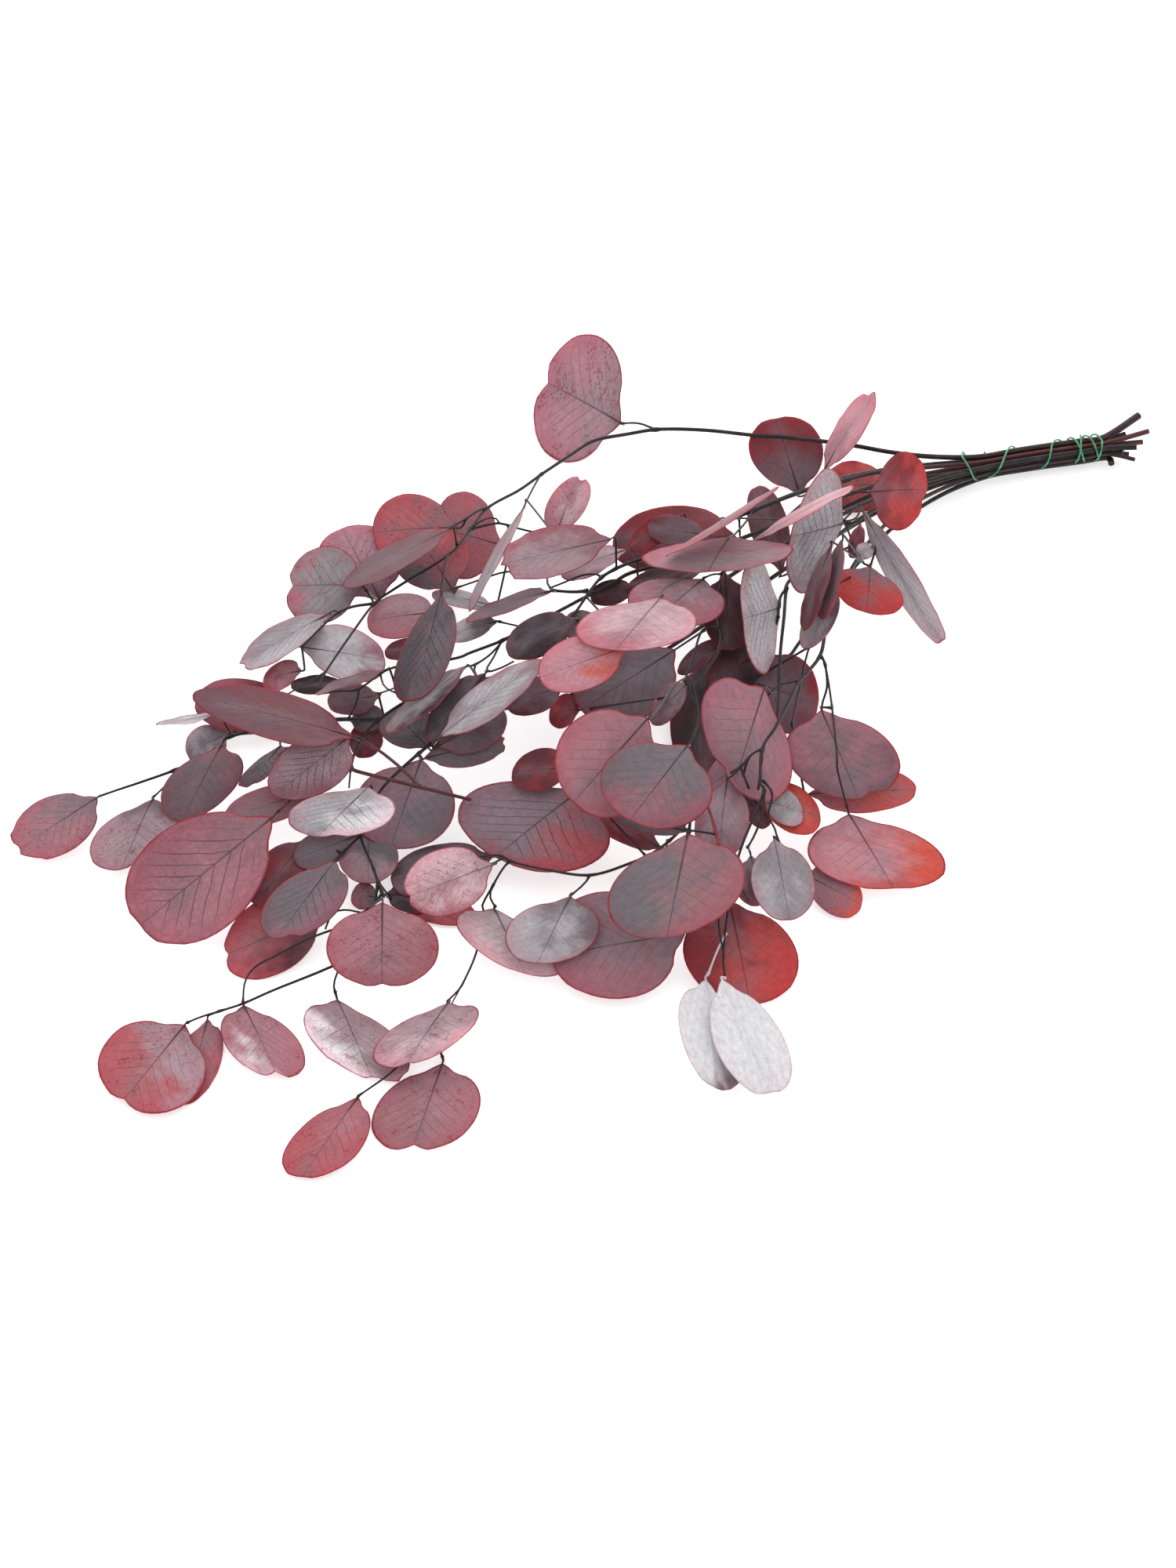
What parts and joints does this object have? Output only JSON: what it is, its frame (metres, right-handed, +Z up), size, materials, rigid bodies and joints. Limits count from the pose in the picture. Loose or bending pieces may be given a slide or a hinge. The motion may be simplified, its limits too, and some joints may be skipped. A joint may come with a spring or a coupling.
{
  "type": "bunch of preserved silver dollar eucalyptus",
  "caption": "Bunch of preserved, dyed silver dollar eucalyptus stems with round leaves, tied with wire at the cut ends and lying on a surface.",
  "frame": {"origin": "on the supporting surface, under the middle of the whole bunch's box", "axes": "+Z up; +X along the bunch, from the leaf tips to the cut ends; +Y to the side with the far arching stem"},
  "size_m": [0.73, 0.4536, 0.1125],
  "materials": {
    "leaf_arch": "matt, dyed and preserved leaf",
    "leaf_crown": "matt, dyed and preserved leaf",
    "leaf_heart": "matt, dyed and preserved leaf",
    "leaf_mid": "matt, dyed and preserved leaf",
    "leaf_low": "matt, dyed and preserved leaf",
    "leaf_inner": "matt, dyed and preserved leaf",
    "leaf_right": "matt, dyed and preserved leaf",
    "leaf_left": "matt, dyed and preserved leaf",
    "leaf_fan": "matt, dyed and preserved leaf",
    "leaf_front": "matt, dyed and preserved leaf",
    "wire": "thin green coating on steel wire"
  },
  "bodies": {
    "root": {"stem_arch": "leaf_arch", "stem_crown": "leaf_crown", "stem_heart": "leaf_heart", "stem_mid": "leaf_mid", "stem_low": "leaf_low", "stem_inner": "leaf_inner", "stem_right": "leaf_right", "stem_left": "leaf_left", "stem_fan": "leaf_fan", "stem_front": "leaf_front", "binding_wire": "wire"}
  },
  "joints": []
}
